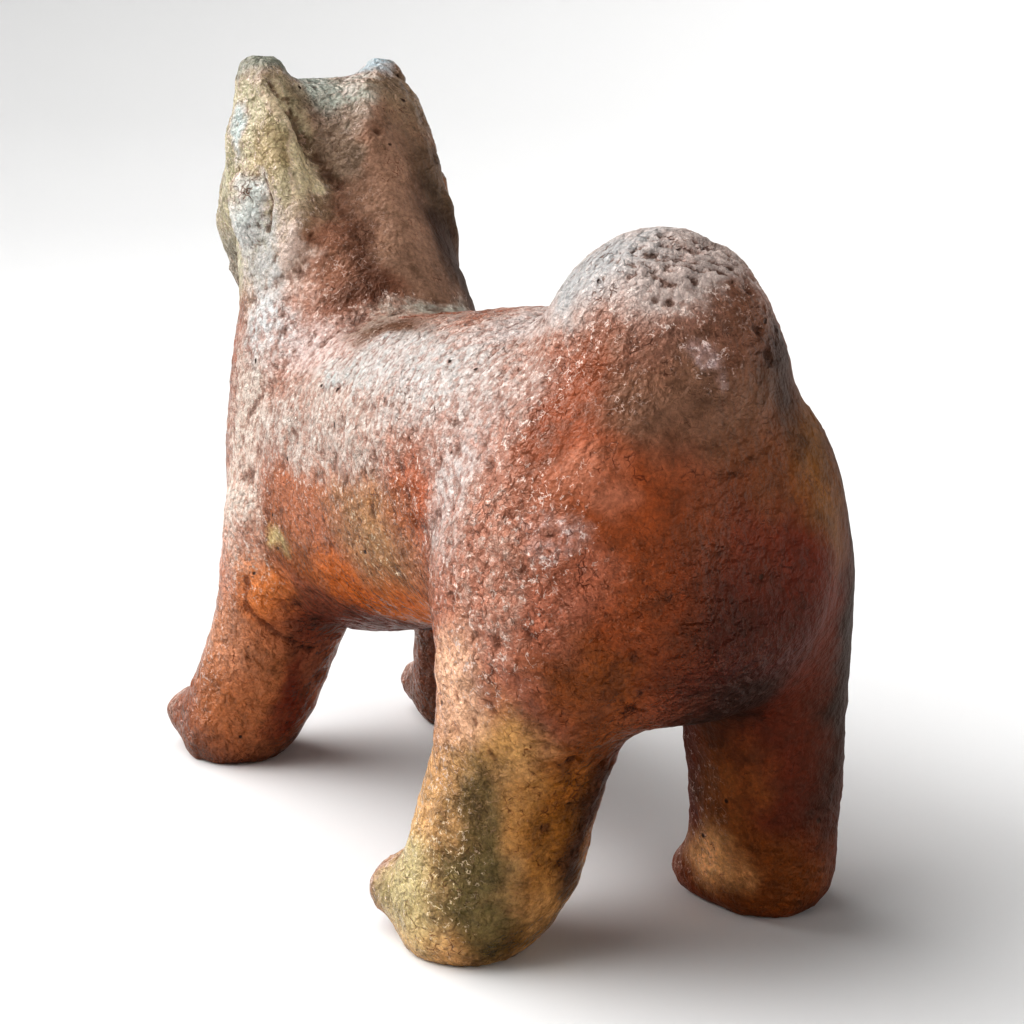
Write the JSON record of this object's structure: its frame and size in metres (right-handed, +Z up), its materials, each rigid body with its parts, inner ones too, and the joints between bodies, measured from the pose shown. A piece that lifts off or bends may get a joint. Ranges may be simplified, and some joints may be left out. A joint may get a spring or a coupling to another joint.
{
  "type": "pottery ram figurine",
  "caption": "Solid hand-modelled earthenware ram with upright neck, small horn peaks, tail hump and stub legs.",
  "frame": {"origin": "on the ground under the middle of the length and width", "axes": "+Z up from the soles, -Y the way the ram faces, +X the ram's left side"},
  "size_m": [0.0826, 0.1908, 0.1516],
  "materials": {
    "earthenware": "burnished"
  },
  "bodies": {
    "root": {"ram": "earthenware"}
  },
  "joints": []
}
